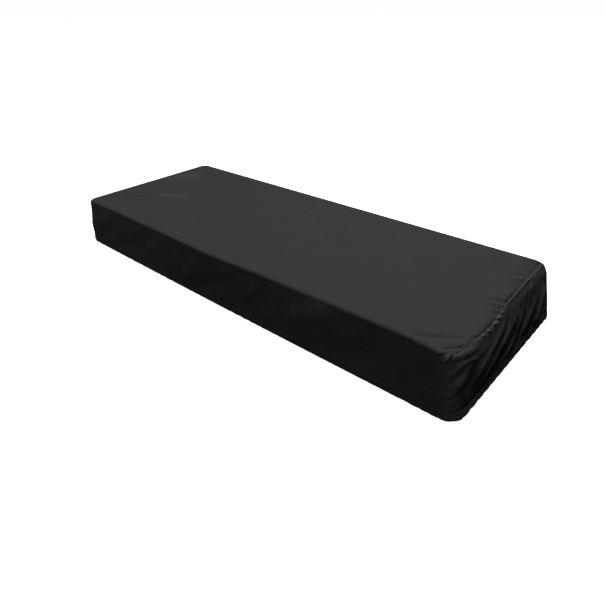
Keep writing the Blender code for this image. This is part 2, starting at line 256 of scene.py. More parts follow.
# On the right end `a` is the distance from the front edge and `b` the height above the hem. First come
# the creases at its front corner, then the troughs that lie dark between the swags.
RIGHT_CREASES = [
    Crease(0.004, 0.098, 0.022, 0.1010, 0.056, 0.0960, 0.0010, 0.0030, 0.4),
    Crease(0.004, 0.092, 0.026, 0.0900, 0.060, 0.0840, -0.0012, 0.0034, 0.4),
    Crease(0.018, 0.082, 0.044, 0.0840, 0.072, 0.0740, 0.0010, 0.0034),
    Crease(0.012, 0.104, 0.034, 0.1030, 0.072, 0.1020, -0.0018, 0.0030, 0.5),
    Crease(0.054, 0.031, 0.112, 0.0440, 0.156, 0.0640, -0.0019, 0.0044),
    Crease(0.146, 0.060, 0.182, 0.0740, 0.204, 0.1080, -0.0020, 0.0044),
    Crease(0.026, 0.013, 0.090, 0.0195, 0.152, 0.0310, -0.0015, 0.0046),
    Crease(0.146, 0.030, 0.190, 0.0400, 0.226, 0.0640, -0.0019, 0.0046),
    Crease(0.198, 0.017, 0.232, 0.0340, 0.264, 0.0650, -0.0018, 0.0044),
    Crease(0.256, 0.060, 0.281, 0.0830, 0.309, 0.1120, -0.0020, 0.0044),
    Crease(0.236, 0.015, 0.275, 0.0270, 0.310, 0.0460, -0.0014, 0.0048),
    Crease(0.326, 0.016, 0.344, 0.0280, 0.353, 0.0440, -0.0014, 0.0046),
]

# The gathered roll of cloth along the right end's top seam stands up in beads, by distance from the
# front edge. Where `rise` is negative, it dips between two beads.
Bead = namedtuple("Bead", "along rise half_width")
RIGHT_BEADS = [
    Bead(0.0300, 0.0010, 0.0040),
    Bead(0.0450, 0.0008, 0.0036),
    Bead(0.0600, 0.0010, 0.0036),
    Bead(0.0765, 0.0016, 0.0036),
    Bead(0.0940, 0.0026, 0.0036),
    Bead(0.1040, -0.0022, 0.0030),
    Bead(0.1135, 0.0030, 0.0036),
    Bead(0.1255, -0.0028, 0.0032),
    Bead(0.1370, 0.0048, 0.0042),
    Bead(0.1456, -0.0034, 0.0022),
    Bead(0.1535, 0.0046, 0.0040),
    Bead(0.1612, -0.0034, 0.0022),
    Bead(0.1680, 0.0034, 0.0036),
    Bead(0.1760, -0.0026, 0.0026),
    Bead(0.1850, 0.0012, 0.0036),
    Bead(0.1985, 0.0010, 0.0030),
    Bead(0.2110, 0.0022, 0.0036),
    Bead(0.2260, 0.0009, 0.0030),
    Bead(0.2430, 0.0019, 0.0040),
    Bead(0.2610, 0.0013, 0.0036),
    Bead(0.2780, 0.0023, 0.0046),
    Bead(0.2930, 0.0028, 0.0042),
    Bead(0.3120, 0.0012, 0.0040),
    Bead(0.3310, 0.0025, 0.0050),
    Bead(0.3520, 0.0014, 0.0040),
    Bead(0.3660, 0.0022, 0.0040),
]

# Puckers that run in over the top from its right seam: how far each lies from the front edge, its
# rise, which is negative for a trough, and how far in it reaches.
Pucker = namedtuple("Pucker", "along rise half_width reach")
RIGHT_PUCKERS = [
    Pucker(0.072, -0.0019, 0.0050, 0.030),
    Pucker(0.082, 0.0010, 0.0050, 0.026),
    Pucker(0.156, -0.0046, 0.0046, 0.026),
    Pucker(0.165, 0.0012, 0.0036, 0.018),
    Pucker(0.174, -0.0049, 0.0044, 0.036),
    Pucker(0.184, 0.0014, 0.0040, 0.034),
    Pucker(0.195, -0.0046, 0.0050, 0.050),
    Pucker(0.206, 0.0014, 0.0044, 0.042),
    Pucker(0.215, -0.0024, 0.0046, 0.024),
    Pucker(0.245, -0.0014, 0.0060, 0.022),
    Pucker(0.267, -0.0035, 0.0050, 0.022),
    Pucker(0.279, -0.0041, 0.0050, 0.048),
    Pucker(0.291, 0.0018, 0.0044, 0.024),
    Pucker(0.307, -0.0049, 0.0054, 0.056),
    Pucker(0.325, -0.0041, 0.0046, 0.040),
    Pucker(0.348, -0.0046, 0.0060, 0.054),
    Pucker(0.368, -0.0049, 0.0048, 0.054),
]

# ---------------------------------------------------------------------------- form


def smooth(share):
    """0 up to 0, 1 from 1, and between them 3 s^2 - 2 s^3."""
    share = np.clip(share, 0.0, 1.0)
    return share * share * (3.0 - 2.0 * share)


def rising(value, start, end):
    """0 up to the start, 1 from the end, and a soft step between them."""
    return smooth((value - start) / (end - start))


def falling(value, start, end):
    """1 up to the start, 0 from the end, and a soft step between them."""
    return smooth((end - value) / (end - start))


def from_table(rows, position, value, at):
    """The column `value` of a table, read in straight lines between its rows at `at`."""
    return np.interp(
        at,
        [getattr(row, position) for row in rows],
        [getattr(row, value) for row in rows],
    )


def uneven(at, spacing, seed):
    """Values from -1 to 1 set at random, `spacing` apart, and joined by soft steps."""
    count = 512
    values = np.random.default_rng(seed).uniform(-1, 1, count)
    place = np.asarray(at) / spacing + count / 2
    left = np.floor(place).astype(int) % (count - 1)
    step = smooth(place - np.floor(place))
    return values[left] * (1 - step) + values[left + 1] * step


def bump_at(distance, half_width):
    """A bell: e to the power of minus the square of distance over half width."""
    return np.exp(-((distance / half_width) ** 2))


def on_cover(x, y, depth):
    """The bare cover's surface over points of the sharp-edged box, where depth is measured down.

    Each edge of the box becomes an arc. A point's angle round it is the arctangent of its distance
    from where the arc starts over the radius, so the sharp edge itself falls on 45 degrees.
    """
    over_x = np.clip(np.abs(x) - (LENGTH / 2 - CORNER_RADIUS), 0, None) / CORNER_RADIUS
    over_y = np.clip(np.abs(y) - (WIDTH / 2 - CORNER_RADIUS), 0, None) / CORNER_RADIUS
    size = np.maximum(np.hypot(over_x, over_y), 1e-9)
    inset = CORNER_RADIUS * (1 - np.maximum(over_x, over_y))
    facing_front = np.where(y < 0, over_y / size, 0) ** 2
    radius = EDGE_RADIUS + (FRONT_EDGE_RADIUS - EDGE_RADIUS) * facing_front
    top_turn = np.arctan(np.clip(1 - inset / radius, 0, 1))
    side_turn = np.pi / 2 - np.arctan(np.clip(1 - depth / radius, 0, 1))
    turn = np.where(depth > 0, side_turn, top_turn)
    inset = np.where(turn > 0, radius * (1 - np.sin(turn)), inset)
    fall = np.where(depth > radius, depth, radius * (1 - np.cos(turn)))
    pull = CORNER_RADIUS - inset
    plan_x = x + np.sign(x) * (over_x / size * pull - over_x * CORNER_RADIUS)
    plan_y = y + np.sign(y) * (over_y / size * pull - over_y * CORNER_RADIUS)

    lean = fall / DROP
    rightness = 0.5 + plan_x / LENGTH
    frontness = 0.5 - plan_y / WIDTH
    bow = from_table(FRONT_BOW, "x", "out", plan_x)
    bow = bow * smooth(1 - (plan_y + WIDTH / 2) / BOW_REACH) * (1 - lean)
    left_lean = LEFT_LEAN * lean - LEFT_DRAW * smooth(lean * 10 - 9)
    leant_x = plan_x + RIGHT_LEAN * lean * rightness - left_lean * (1 - rightness)
    swell = FRONT_SWELL * (1 - (2 * plan_x / LENGTH) ** 2)
    leant_y = plan_y - lean * (FRONT_LEAN + swell) * frontness - bow
    return np.stack([leant_x, leant_y, TOP_Z - fall], axis=-1)


def normals(surface, u, v):
    """The unit normals of surface(u, v): the cross product of its central differences."""
    step = 2e-5
    along_u = surface(u + step, v) - surface(u - step, v)
    along_v = surface(u, v + step) - surface(u, v - step)
    normal = np.cross(along_u, along_v)
    return normal / np.linalg.norm(normal, axis=-1, keepdims=True)


def nearest_on(line_a, line_b, a, b):
    """How far points (a, b) lie from a line of straight pieces, how far along it, and on which side."""
    best = np.full(np.shape(a), np.inf)
    share, side = np.zeros(np.shape(a)), np.zeros(np.shape(a))
    count = len(line_a) - 1
    for piece in range(count):
        run_a = line_a[piece + 1] - line_a[piece]
        run_b = line_b[piece + 1] - line_b[piece]
        from_a, from_b = a - line_a[piece], b - line_b[piece]
        along = np.clip((from_a * run_a + from_b * run_b) / (run_a**2 + run_b**2), 0, 1)
        apart = np.hypot(from_a - along * run_a, from_b - along * run_b)
        nearer = apart < best
        share = np.where(nearer, (piece + along) / count, share)
        side = np.where(nearer, run_b * from_a - run_a * from_b, side)
        best = np.minimum(best, apart)
    return best, share, side


def swag_lift(swags, along, up):
    """The sum of the swags' rises. Each follows a hanging parabola and fades towards its two ends.

    A fold stands out more and more steeply down to its line, e to the power of minus the distance,
    and below the line it falls back slowly, as the remaining share of its fall to the power of 1.5.
    """
    lift = np.zeros_like(along)
    share = np.linspace(0, 1, 13)
    for swag in swags:
        run_along = swag.along_low - swag.along_top
        run_up = swag.up_low - swag.up_top
        hang = swag.sag * 4 * share * (1 - share)
        across = np.array([-run_up, run_along]) / np.hypot(run_along, run_up)
        across = across * -np.sign(across[1])
        line_along = swag.along_top + run_along * share + across[0] * hang
        line_up = swag.up_top + run_up * share + across[1] * hang
        apart, place, side = nearest_on(line_along, line_up, along, up)
        strength = 0.15 + 0.85 * smooth(4 * place) * smooth(5 * (1 - place))
        ledge = np.exp(-(np.hypot(apart, FOLD_ROUND) - FOLD_ROUND) / swag.above)
        fall = np.clip(1 - (np.hypot(apart, FOLD_ROUND) - FOLD_ROUND) / swag.below, 0, 1) ** 1.5
        lift = lift + swag.rise * strength * np.where(side > 0, ledge, fall)
    return lift


def crease_sum(creases, a, b, value="rise"):
    """The sum of a value of the creases. Each is a bell across a parabola through its three points."""
    total = np.zeros(np.shape(a))
    share = np.linspace(0, 1, 9)
    start, middle, end = 2 * (share - 0.5) * (share - 1), 4 * share * (1 - share), 2 * share * (share - 0.5)
    for row in creases:
        line_a = row.a1 * start + row.a2 * middle + row.a3 * end
        line_b = row.b1 * start + row.b2 * middle + row.b3 * end
        apart, place, _ = nearest_on(line_a, line_b, a, b)
        fade_in = row.from_full + (1 - row.from_full) * smooth(4 * place)
        strength = fade_in * smooth(3 * (1 - place))
        total = total + getattr(row, value) * strength * bump_at(apart, row.half_width)
    return total


def gathers(at, pitch, seed):
    """Ripples with round crests and narrow valleys, about `pitch` apart, uneven in place and height.

    The ripple is the root of the sine's absolute value, less its mean.
    """
    phase = at / pitch + 0.45 * uneven(at, 1.7 * pitch, seed)
    ripple = np.sqrt(np.abs(np.sin(np.pi * phase)) + 0.03) - 0.77
    return ripple * (0.6 + 0.4 * uneven(at, 2.6 * pitch, seed + 1))


def hem_lift(height, around):
    """What a side stands out at this height above the hem, `around` being its place round the cover.

    It is a slight belly, the round of the casing, a groove at its stitches, the roll of the fold at
    its foot, ripples where the elastic draws the casing in, which die away above it, and finer ones
    on the casing itself. The larger ripples also die away at the back right corner, and at the front
    left corner, where the place round the cover starts and ends.
    """
    belly = BELLY * falling(height, 0.023, 0.093)
    casing = CASING_ROUND * np.sin(np.pi * np.clip(height / HEM_HEIGHT, 0, 1))
    groove = -STITCH_SINK * bump_at(height - HEM_HEIGHT, STITCH_SINK_HALF)
    foot = np.clip(1 - height / FOOT, 0, 1)
    roll = -FOOT_ROLL * (1 - np.sqrt(1 - foot**2))
    fade = falling(height, 0.014, 0.050) * (0.75 + 0.25 * falling(height, 0.016, 0.022))
    whole = 2 * (LENGTH + WIDTH)
    from_start = around + LENGTH / 2
    fade = fade * rising(np.minimum(from_start, whole - from_start), 0, 0.02)
    fade = fade * rising(np.abs(around - LENGTH / 2 - WIDTH), 0, 0.03)
    ripple = HEM_RIPPLE * fade * gathers(around + 0.12 * height, HEM_PITCH, 3)
    finer = CASING_RIPPLE * falling(height, 0.012, 0.020) * gathers(around, CASING_PITCH, 5)
    return belly + casing + groove + roll + ripple + finer


def seam_groove(distance, wider=0.0):
    """A panel sinks into its seam along a bell, which may be made wider."""
    return -SEAM_SINK * bump_at(distance, GROOVE_HALF + wider)


def behind(along):
    """0 along the beaded front part of the right top seam, and 1 along its back part."""
    return rising(along, 0.17, 0.22)


def deeper_seam(along):
    """How much deeper the right top seam lies: beside the beads, and all along the back."""
    return DEEPER_AT_BEADS * bump_at(along - BEADS_MIDDLE, BEADS_REACH) + DEEPER_BEHIND * behind(along)


def bead_rise(along):
    """The sum of the right top seam's beads: a bell along the seam for each."""
    return sum(row.rise * bump_at(along - row.along, row.half_width) for row in RIGHT_BEADS)


def right_puckers(along, to_right):
    """The sum of the right seam's puckers: bells across them, faded in at the seam and out at their ends.

    They lean a little, so that each lies nearer the front the further in it runs.
    """
    lift = np.zeros(np.shape(along))
    leant = along + PUCKER_LEAN * (to_right - 0.010)
    for row in RIGHT_PUCKERS:
        fade = smooth(1.4 * (1 - to_right / row.reach)) * rising(to_right, -0.001, 0.004)
        lift = lift + row.rise * fade * bump_at(leant - row.along, row.half_width)
    return lift


def roll_painted_highlight(below, along):
    """How far the roll of the right top seam is painted paler, a painted highlight where the roll and its
    beads catch the light, by the distance below it.

    It is a bell across the roll, full on the beads and, behind, of an uneven strength between them.
    """
    centre = 0.0028 - 0.0010 * behind(along)
    least = (0.04 + 0.38 * rising(along, 0.21, 0.30)) * (1 + 0.8 * uneven(along, 0.007, 71))
    band = bump_at(below - centre, 0.0020 + 0.0006 * behind(along))
    return (least + (1 - least) * np.clip(bead_rise(along) / 0.0036, 0, 1) ** 1.5) * band


def corner_painted_light(round_corner, depth):
    """How far the front right upright corner is painted paler, as painted light: a bell round it that fades
    out at the top.
    """
    return 0.45 * bump_at(round_corner - 0.004, 0.017) * rising(depth, 0, 0.02)


def top_slip(y):
    """How far the right end's top seam lies below the sharp edge."""
    return from_table(RIGHT_SEAM_SLIP, "along", "down", y + WIDTH / 2)


def upright_shift(depth):
    """How far the front right upright seam lies ahead of the sharp edge."""
    return from_table(UPRIGHT_SEAM_SHIFT, "depth", "ahead", depth)


# ---------------------------------------------------------------------------- panels


def main_bare(u, v):
    """The long panel with no relief. u runs from the back hem over the top to the front hem, v along X.

    Near the right end its cloth slides by as much as the seams have slipped, and goes over the edge
    of the box where that takes it past the edge.
    """
    y = np.clip(MIDDLE - u, -WIDTH / 2, WIDTH / 2)
    depth = np.maximum(np.maximum(DROP - u, u - FRONT_EDGE), 0)
    near = rising(v, LENGTH / 2 - SLIDE_REACH, LENGTH / 2)
    on_front = u > FRONT_EDGE
    slide = np.where(on_front, -upright_shift(depth), np.where(depth > 0, 0, top_slip(y)))
    x = v + near * slide
    past = np.clip(x - LENGTH / 2, 0, None)
    x = np.minimum(x, LENGTH / 2)
    depth = np.where(depth > 0, depth, past)
    return on_cover(x, y, depth)


def main_surface(u, v):
    """The long panel's outer face: the bare panel plus its relief along the bare panel's normals."""
    depth = np.maximum(np.maximum(DROP - u, u - FRONT_EDGE), 0)
    height, along = DROP - depth, FRONT_EDGE - u
    to_right, to_left = LENGTH / 2 - v, LENGTH / 2 + v
    on_side = rising(depth, 0, EDGE_RADIUS)
    on_top = rising(along, 0, 0.02) * falling(along, WIDTH - 0.02, WIDTH)
    waves = sum(row.out * bump_at(v - row.x, row.half_width) for row in SIDE_WAVES)
    waves = waves * np.sin(np.pi * np.clip(height / DROP, 0, 1))
    hem = hem_lift(height, np.where(u > MIDDLE, v, LENGTH + WIDTH - v))
    lift = on_side * (hem + waves)

    # Short puckers run in over the top from the right seam, and faintly from the left.
    lift = lift + on_top * right_puckers(along, to_right)
    reach = falling(to_left, 0, 0.022)
    lift = lift + LEFT_PUCKER * on_top * reach * gathers(along, LEFT_PUCKER_PITCH, 31)

    creases = crease_sum(TOP_CREASES, v, u - MIDDLE) + crease_sum(CORNER_FOLDS, v, u - FRONT_EDGE)
    lift = lift + creases * rising(to_right, 0, 0.003)
    lift = lift + on_side * rising(height, 0, 0.03) * crease_sum(FRONT_FOLDS, v, u - FRONT_EDGE)
    lift = lift + rising(u, FRONT_EDGE, FRONT_EDGE + 0.01) * crease_sum(CORNER_CREASES, -to_right, height)
    wider = GROOVE_WIDER * on_top * behind(along)
    lift = lift + (1 + on_top * deeper_seam(along)) * seam_groove(to_right, wider) + seam_groove(to_left)
    return main_bare(u, v) + lift[..., None] * normals(main_bare, u, v)


def round_the_box(side, depth, y):
    """Places of an end of the sharp-edged box, and past its edges those of the top, front or back."""
    past_edge = np.clip(-depth, 0, None)
    past_corner = np.clip(np.abs(y) - WIDTH / 2, 0, None)
    x = side * (LENGTH / 2 - past_edge - past_corner)
    return on_cover(x, np.clip(y, -WIDTH / 2, WIDTH / 2), np.maximum(depth, 0))


def right_bare(u, v):
    """The right end panel with no relief. u runs from its top seam to its hem, v along Y."""
    depth = u + top_slip(v) * (1 - smooth(u / SLIDE_REACH))
    near = 1 - smooth((v + WIDTH / 2) / SLIDE_REACH)
    return round_the_box(1, depth, v - near * upright_shift(np.clip(u, 0, DROP)))


def right_surface(u, v):
    """The right end's outer face: swags across it, a beaded roll under its top seam, and its hem."""
    height, along = DROP - u, v + WIDTH / 2
    to_upright = WIDTH / 2 - np.abs(v)
    fade = rising(to_upright, 0, SWAG_FADE) * rising(u, 0, SWAG_FADE)
    lift = rising(u, 0, EDGE_RADIUS) * hem_lift(height, LENGTH / 2 + along)
    in_hem = 0.35 + 0.65 * rising(height, 0.002, 0.018)
    lift = lift + fade * in_hem * swag_lift(RIGHT_SWAGS, along, height)

    # Small wrinkles run between the folds, flatter towards the front.
    across = along - (1.2 + 1.0 * falling(along, 0.04, 0.24)) * height
    small = rising(height, 0.012, 0.032) * rising(u, 0.012, 0.032)
    lift = lift + WRINKLE * fade * small * gathers(across, WRINKLE_PITCH, 57)

    # The roll with its beads, and the cloth that sinks below it.
    past_corner = rising(along, 0.05, 0.09)
    full = (ROLL_RISE + ROLL_MORE_BEHIND * behind(along)) * (0.3 + 0.7 * past_corner)
    roll = full * rising(u, 0, 0.003) * bump_at(u - ROLL_DEPTH, ROLL_HALF)
    roll = roll + bead_rise(along) * bump_at(u - BEAD_DEPTH, BEAD_HALF)
    roll = roll - HOLLOW * past_corner * rising(u, 0, 0.006) * bump_at(u - HOLLOW_DEPTH, HOLLOW_HALF)
    lift = lift + rising(to_upright, 0, 0.020) * roll

    # Short gathers hang below that roll, most of them in the front half.
    reach = 0.020 + 0.007 * uneven(along, 0.013, 51)
    below = rising(u, 0.003, 0.008) * falling(u, 0.010, reach + 0.010)
    amount = (0.35 + 0.65 * falling(along, 0.195, 0.235)) * rising(to_upright, 0, 0.03)
    lift = lift + GATHER * below * amount * gathers(along - 0.35 * u, GATHER_PITCH, 53)

    lift = lift + crease_sum(RIGHT_CREASES, along, height) * rising(to_upright, 0, 0.003)
    lift = lift + rising(u, 0, 0.01) * crease_sum(CORNER_CREASES, along, height)
    lift = lift + (1 + deeper_seam(along)) * seam_groove(u) + seam_groove(to_upright)
    return right_bare(u, v) + lift[..., None] * normals(right_bare, u, v)


def left_bare(u, v):
    """The left end panel with no relief. u runs from its top seam to its hem, v along Y."""
    return round_the_box(-1, u, v)


def left_surface(u, v):
    """The left end's outer face: swags, a plain roll with gathers below it, and its hem.

    Its normals point to +X, inwards, so its relief is taken away along them.
    """
    height, along = DROP - u, v + WIDTH / 2
    to_upright = WIDTH / 2 - np.abs(v)
    fade = rising(to_upright, 0, SWAG_FADE) * rising(u, 0, SWAG_FADE)
    lift = rising(u, 0, EDGE_RADIUS) * hem_lift(height, 1.5 * LENGTH + 2 * WIDTH - along)
    lift = lift + fade * swag_lift(LEFT_SWAGS, along, height)
    lift = lift + LEFT_ROLL * bump_at(u - 0.0036, 0.0026) * rising(to_upright, 0, 0.02)
    below = rising(u, 0.003, 0.008) * falling(u, 0.008, 0.026) * rising(to_upright, 0, 0.03)
    lift = lift + LEFT_GATHER * below * gathers(along, LEFT_PITCH, 63)
    lift = lift + seam_groove(u) + seam_groove(to_upright)
    return left_bare(u, v) - lift[..., None] * normals(left_bare, u, v)


def grid_normals(points):
    """Unit normals of a grid of points, from the differences between its neighbours."""
    normal = np.cross(np.gradient(points, axis=0), np.gradient(points, axis=1))
    return normal / np.linalg.norm(normal, axis=-1, keepdims=True)


def layers(height, to_seam):
    """The cloth's thickness: one layer, more in the hem casing and where a seam's edges are turned in."""
    step = 0.0012
    hem = falling(height, HEM_HEIGHT, HEM_HEIGHT + step)
    seam = falling(to_seam, SEAM_ALLOWANCE - step, SEAM_ALLOWANCE)
    return CLOTH + np.maximum(HEM_TURN * hem, ALLOWANCE_TURN * seam)


def quads(place):
    """The four corners of each square of a grid of vertex numbers."""
    squares = np.stack([place[1:, :-1], place[1:, 1:], place[:-1, 1:], place[:-1, :-1]], axis=-1)
    return squares.reshape(-1, 4)


def edge_between(outer, inner, at_hem):
    """The middle of a panel's edge, half way between its faces, and lower at the hem to round it."""
    middle = (outer + inner) / 2
    middle[..., 2] -= 0.45 * np.linalg.norm(outer - inner, axis=-1) * at_hem
    return middle


def mesh_object(name, points, blocks):
    """A smooth-shaded object at the origin, from its points and from blocks of faces that number them."""
    mesh = bpy.data.meshes.new(name)
    faces = [face for block in blocks for face in block.tolist()]
    mesh.from_pydata(points.reshape(-1, 3).tolist(), [], faces)
    mesh.polygons.foreach_set("use_smooth", np.ones(len(mesh.polygons), bool))
    made = bpy.data.objects.new(name, mesh)
    bpy.context.scene.collection.objects.link(made)
    return made


def cloth_object(name, outer, inner, edge, faces, rim, flat, sewn, wear_and_painted_highlight, turned=False):
    """A closed sheet: its outer face, its inner one, and walls round its rim that meet along `edge`.

    Where it is `sewn`, its edge is shaded sharp, so that the panels' faces run smoothly together.
    """
    count = len(outer)
    ring = 2 * count + np.arange(len(rim))
    after_rim, after_ring = np.roll(rim, -1), np.roll(ring, -1)
    walls = [
        np.stack([after_rim, rim, ring, after_ring], axis=-1),
        np.stack([after_ring, ring, rim + count, after_rim + count], axis=-1),
    ]
    faces = faces + [face[:, ::-1] + count for face in faces] + walls
    if turned:
        faces = [face[:, ::-1] for face in faces]
    cloth = mesh_object(name, np.concatenate([outer, inner, edge[rim]]), faces)
    mesh = cloth.data
    flat = np.concatenate([flat, flat, flat[rim]])
    corner = np.empty(len(mesh.loops), np.int32)
    mesh.loops.foreach_get("vertex_index", corner)
    mesh.uv_layers.new(name="cloth").data.foreach_set("uv", flat[corner].astype(np.float32).ravel())
    sides = np.empty(2 * len(mesh.edges), np.int32)
    mesh.edges.foreach_get("vertices", sides)
    sewn = np.concatenate([sewn, sewn, np.zeros(len(rim), bool)])
    sharp = sewn[sides.reshape(-1, 2)].all(axis=1)
    mesh.attributes.new("sharp_edge", "BOOLEAN", "EDGE").data.foreach_set("value", sharp)
    # How far each point is painted paler: worn coating in part, painted highlight in part.
    wear_and_painted_highlight = np.concatenate([wear_and_painted_highlight, wear_and_painted_highlight, wear_and_painted_highlight[rim]]).astype(np.float32)
    mesh.attributes.new("wear_and_painted_highlight", "FLOAT", "POINT").data.foreach_set("value", wear_and_painted_highlight)
    return cloth


def steps(start, *stretches):
    """Places along a line from its start: each stretch is (where it ends, its spacing)."""
    parts = []
    for end, spacing in stretches:
        count = max(1, int(round((end - start) / spacing)))
        parts.append(np.linspace(start, end, count + 1)[:-1])
        start = end
    return np.concatenate(parts + [[start]])


def rim_of(place):
    """The vertex numbers round a grid's edge, once round."""
    return np.concatenate([place[:-1, 0], place[-1, :-1], place[:0:-1, -1], place[0, :0:-1]])


def end_panel(name, bare, surface, turned=False):
    """An end panel as one even grid. At its seams its edge reaches under the long panel.

    It is painted paler on the crests of its swags, by the square of their rise, as a painted highlight, and
    paler along its casing. On the right end the roll of its top seam is painted paler as painted highlight,
    and its front corner as painted light.
    """
    u = steps(0, (0.012, 0.0008), (0.086, 0.0016), (DROP - 0.003, 0.0013), (DROP, 0.0006))
    v = steps(-WIDTH / 2, (-WIDTH / 2 + 0.03, 0.0012), (WIDTH / 2 - 0.03, 0.0015), (WIDTH / 2, 0.0013))
    u, v = np.meshgrid(u, v, indexing="ij")
    height, along = DROP - u, v + WIDTH / 2
    outer = surface(u, v)
    normal = grid_normals(outer) * (-1 if turned else 1)
    to_upright = WIDTH / 2 - np.abs(v)
    inner = outer - layers(height, np.minimum(u, to_upright))[..., None] * normal
    at_top, at_upright = u < ON_EDGE, to_upright < ON_EDGE
    inside = 0.0002
    plain = normals(bare, np.maximum(u, inside), v * (1 - inside / WIDTH)) * (-1 if turned else 1)
    sunk = 0.0014 + SEAM_SINK * (1 + (0 if turned else deeper_seam(along)) * at_top)
    tucked = bare(u - SEAM_TUCK * at_top, v + np.sign(v) * SEAM_TUCK * at_upright) - sunk[..., None] * plain
    at_seam = at_top | at_upright
    edge = np.where(at_seam[..., None], tucked, edge_between(outer, inner, u > DROP - ON_EDGE))
    swags = swag_lift(LEFT_SWAGS if turned else RIGHT_SWAGS, along, height)
    # Painted highlight on the swags' crests, and a paler band along the casing; on the right end also the
    # seam roll's painted highlight and the corner's painted light.
    wear_and_painted_light = 0.25 * np.clip(swags / 0.006, 0, 1) ** 2 + 0.30 * bump_at(height - HEM_HEIGHT / 2, 0.006)
    if not turned:
        wear_and_painted_light = wear_and_painted_light + roll_painted_highlight(u, along) + corner_painted_light(along, u)
    place = np.arange(u.size).reshape(u.shape)
    flat = np.stack([v, -u], axis=-1).reshape(-1, 2)
    values = [value.reshape(-1, 3) for value in (outer, inner, edge)]
    rim, sewn, wear_and_painted_highlight = rim_of(place), at_seam.ravel(), wear_and_painted_light.ravel()
    return cloth_object(name, *values, [quads(place)], rim, flat, sewn, wear_and_painted_highlight, turned)


def main_panel(name):
    """The long panel: a coarse grid, and a grid four times as fine towards the right end's puckers.

    The last square of each row of the coarse grid also takes in the fine grid's points beside it.
    """
    finer, right_start = 4, LENGTH / 2 - 0.074
    whole = 2 * DROP + WIDTH
    rows = steps(
        0,
        (0.003, 0.001),
        (0.024, 0.003),
        (0.092, 0.0075),
        (0.122, 0.0030),
        (MIDDLE - 0.100, 0.0065),
        (MIDDLE - 0.050, 0.0045),
        (MIDDLE + 0.010, 0.0065),
        (MIDDLE + 0.105, 0.0042),
        (FRONT_EDGE - 0.020, 0.0065),
        (FRONT_EDGE - 0.006, 0.0024),
        (FRONT_EDGE + 0.006, 0.0012),
        (FRONT_EDGE + 0.016, 0.0024),
        (whole - 0.040, 0.0055),
        (whole - 0.003, 0.0024),
        (whole, 0.0010),
    )
    fine_rows = np.interp(np.arange(finer * (len(rows) - 1) + 1) / finer, np.arange(len(rows)), rows)
    coarse = steps(-LENGTH / 2, (-LENGTH / 2 + 0.03, 0.0025), (right_start, 0.0050))[:-1]
    fine = steps(right_start, (LENGTH / 2 - 0.03, 0.0034), (LENGTH / 2, 0.0015))

    def both(values):
        """Joins the coarse and the fine grid's values into one list."""
        return np.concatenate([value.reshape(-1, *value.shape[2:]) for value in values])

    grids = [np.meshgrid(rows, coarse, indexing="ij"), np.meshgrid(fine_rows, fine, indexing="ij")]
    outer, inner, edge, flat, sewn, wear_and_painted_highlight = [], [], [], [], [], []
    for u, v in grids:
        points = main_surface(u, v)
        depth = np.maximum(np.maximum(DROP - u, u - FRONT_EDGE), 0)
        thickness = layers(DROP - depth, LENGTH / 2 - np.abs(v))
        outer.append(points)
        inner.append(points - thickness[..., None] * grid_normals(points))
        edge.append(edge_between(points, inner[-1], depth > DROP - ON_EDGE))
        flat.append(np.stack([v, u], axis=-1))
        sewn.append(LENGTH / 2 - np.abs(v) < ON_EDGE)
        to_right = LENGTH / 2 - v
        # Painted highlight on the crests of the right seam's puckers, added to the painted highlight of the
        # seam's roll.
        crests = np.clip(right_puckers(FRONT_EDGE - u, to_right) / 0.0100, 0, 0.2)
        seam = roll_painted_highlight(-to_right, FRONT_EDGE - u) + crests
        # Creases painted paler, as painted highlight with some crease whitening of the coating, and the
        # front right corner as painted light.
        wear_and_painted_light = crease_sum(TOP_CREASES, v, u - MIDDLE, "pale")
        wear_and_painted_light = wear_and_painted_light + crease_sum(CORNER_FOLDS + FRONT_FOLDS, v, u - FRONT_EDGE, "pale")
        wear_and_painted_light = wear_and_painted_light + np.where(u > FRONT_EDGE, corner_painted_light(to_right, depth), 0)
        wear_and_painted_highlight.append(np.where(depth > 0, 0, seam) + wear_and_painted_light)
    left = np.arange(grids[0][0].size).reshape(grids[0][0].shape)
    right = left.size + np.arange(grids[1][0].size).reshape(grids[1][0].shape)
    beside = [right[finer - step : right.shape[0] - step : finer, 0] for step in range(finer)]
    beside.append(right[: right.shape[0] - 1 : finer, 0])
    joint = np.stack([left[1:, -1], *beside, left[:-1, -1]], axis=-1)
    rim = [left[:-1, 0], left[-1], right[-1, :-1], right[:0:-1, -1], right[0, ::-1], left[0, :0:-1]]
    values = [both(value) for value in (outer, inner, edge)]
    faces = [quads(left), quads(right), joint]
    return cloth_object(name, *values, faces, np.concatenate(rim), both(flat), both(sewn), both(wear_and_painted_highlight))


